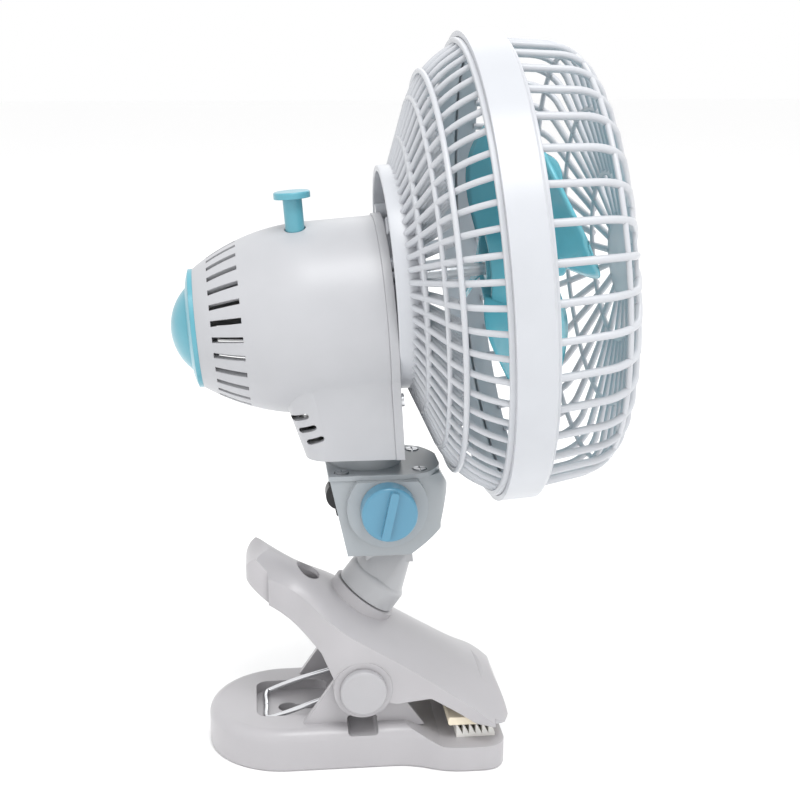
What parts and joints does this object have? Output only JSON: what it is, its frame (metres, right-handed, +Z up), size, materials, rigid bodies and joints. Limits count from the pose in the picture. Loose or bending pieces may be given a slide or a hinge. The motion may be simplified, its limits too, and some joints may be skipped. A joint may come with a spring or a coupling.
{
  "type": "clip fan",
  "caption": "Small fan on a sprung clip: caged blades, oscillating motor head on a tilting neck, swivelling stem and two-jaw clip.",
  "frame": {"origin": "on the underside of the lower jaw, below the clip's pivot", "axes": "+X the way the fan faces, +Z up, Y across, the tilt knob on the -Y side"},
  "size_m": [0.1873, 0.188, 0.2968],
  "materials": {
    "housing_white": "satin moulded",
    "grille_white": "satin moulded",
    "badge_white": "gloss moulded",
    "clip_white": "satin moulded",
    "stem_white": "satin moulded",
    "neck_grey": "satin moulded",
    "cap_blue": "gloss moulded",
    "knob_blue": "gloss moulded",
    "blade_blue": "gloss moulded",
    "switch_black": "fine grain",
    "grip_white": "soft",
    "grip_cream": "soft",
    "spring_steel": "bright drawn wire",
    "steel": "zinc plated",
    "lamination": "stamped",
    "copper": "enamelled wire",
    "bronze": "sintered",
    "nylon": "moulded"
  },
  "bodies": {
    "base": {"lower_jaw": "clip_white", "lower_grip": "grip_white", "pivot_pin": "steel", "pivot_caps": "clip_white", "torsion_spring": "spring_steel"},
    "upper_clip": {"upper_jaw": "clip_white", "upper_grip": "grip_cream"},
    "stem": {"stem": "stem_white", "swivel_washer": "steel", "swivel_screw": "steel"},
    "neck": {"neck_body": "neck_grey", "neck_cover": "neck_grey", "neck_screws": "steel", "neck_post": "steel", "post_arm": "steel", "post_screw": "steel", "tilt_nut": "steel", "switch_case": "switch_black"},
    "knob": {"tilt_knob": "knob_blue", "tilt_bolt": "steel"},
    "rocker": {"switch_rocker": "switch_black"},
    "head": {"motor_housing": "housing_white", "housing_front": "housing_white", "housing_screws": "steel", "rear_cap": "cap_blue", "stator_core": "lamination", "stator_windings": "copper", "rear_bracket": "steel", "front_bracket": "steel", "motor_bearings": "bronze", "motor_screws": "steel", "gearbox_case": "nylon", "rear_grille": "grille_white", "grille_screws": "steel", "rim_band": "grille_white", "front_grille": "grille_white", "centre_badge": "badge_white"},
    "rotor": {"motor_shaft": "steel", "rotor_core": "lamination", "worm_gear": "steel", "fan_blade": "blade_blue", "blade_nut": "blade_blue"},
    "oscillation_knob": {"oscillation_knob": "cap_blue"},
    "crank": {"worm_wheel": "nylon", "crank_disc": "nylon"},
    "link": {"crank_link": "steel"}
  },
  "joints": [
    {"name": "clip_open", "type": "hinge", "parent": "base", "child": "upper_clip", "pos_m": [0, 0, 0.035], "axis": [0, -1, 0], "range_deg": [0, 38], "stiffness_Nm_per_rad": 0.8, "springref_deg": -40.11, "deforming": ["torsion_spring"]},
    {"name": "stem_swivel", "type": "hinge", "parent": "upper_clip", "child": "stem", "pos_m": [0.0038, 0, 0.0649], "axis": [0.6, 0, 0.8], "range_deg": [-50, 50]},
    {"name": "head_tilt", "type": "hinge", "parent": "stem", "child": "neck", "pos_m": [0.011, 0, 0.11], "axis": [0, 1, 0], "range_deg": [-15, 35]},
    {"name": "tilt_knob_turn", "type": "hinge", "parent": "neck", "child": "knob", "pos_m": [0.011, -0.0254, 0.11], "axis": [0, -1, 0], "range_deg": [-360, 0]},
    {"name": "switch_rock", "type": "hinge", "parent": "neck", "child": "rocker", "pos_m": [-0.00809, 0, 0.10876], "axis": [0, 1, 0], "range_deg": [-8, 8]},
    {"name": "oscillation", "type": "hinge", "parent": "neck", "child": "head", "pos_m": [0.004, 0, 0.13], "axis": [0, 0, 1], "range_deg": [-40, 40]},
    {"name": "blade_spin", "type": "hinge", "parent": "head", "child": "rotor", "pos_m": [0.048, 0, 0.202], "axis": [0.9969, 0, 0.0785], "continuous": true},
    {"name": "oscillation_push", "type": "slide", "parent": "head", "child": "oscillation_knob", "axis": [-0.0785, 0, 0.9969], "range_m": [-0.005, 0]},
    {"name": "crank_turn", "type": "hinge", "parent": "head", "child": "crank", "pos_m": [-0.02178, -0.0087, 0.19651], "axis": [-0.0785, 0, 0.9969], "continuous": true},
    {"name": "link_turn", "type": "hinge", "parent": "crank", "child": "link", "pos_m": [-0.01358, -0.0087, 0.15603], "axis": [-0.0785, 0, 0.9969], "continuous": true}
  ],
  "couplings": [
    {"joint": "crank_turn", "follows": "blade_spin", "ratio": 0.0625},
    {"joint": "link_turn", "follows": "blade_spin", "ratio": -0.0625}
  ]
}
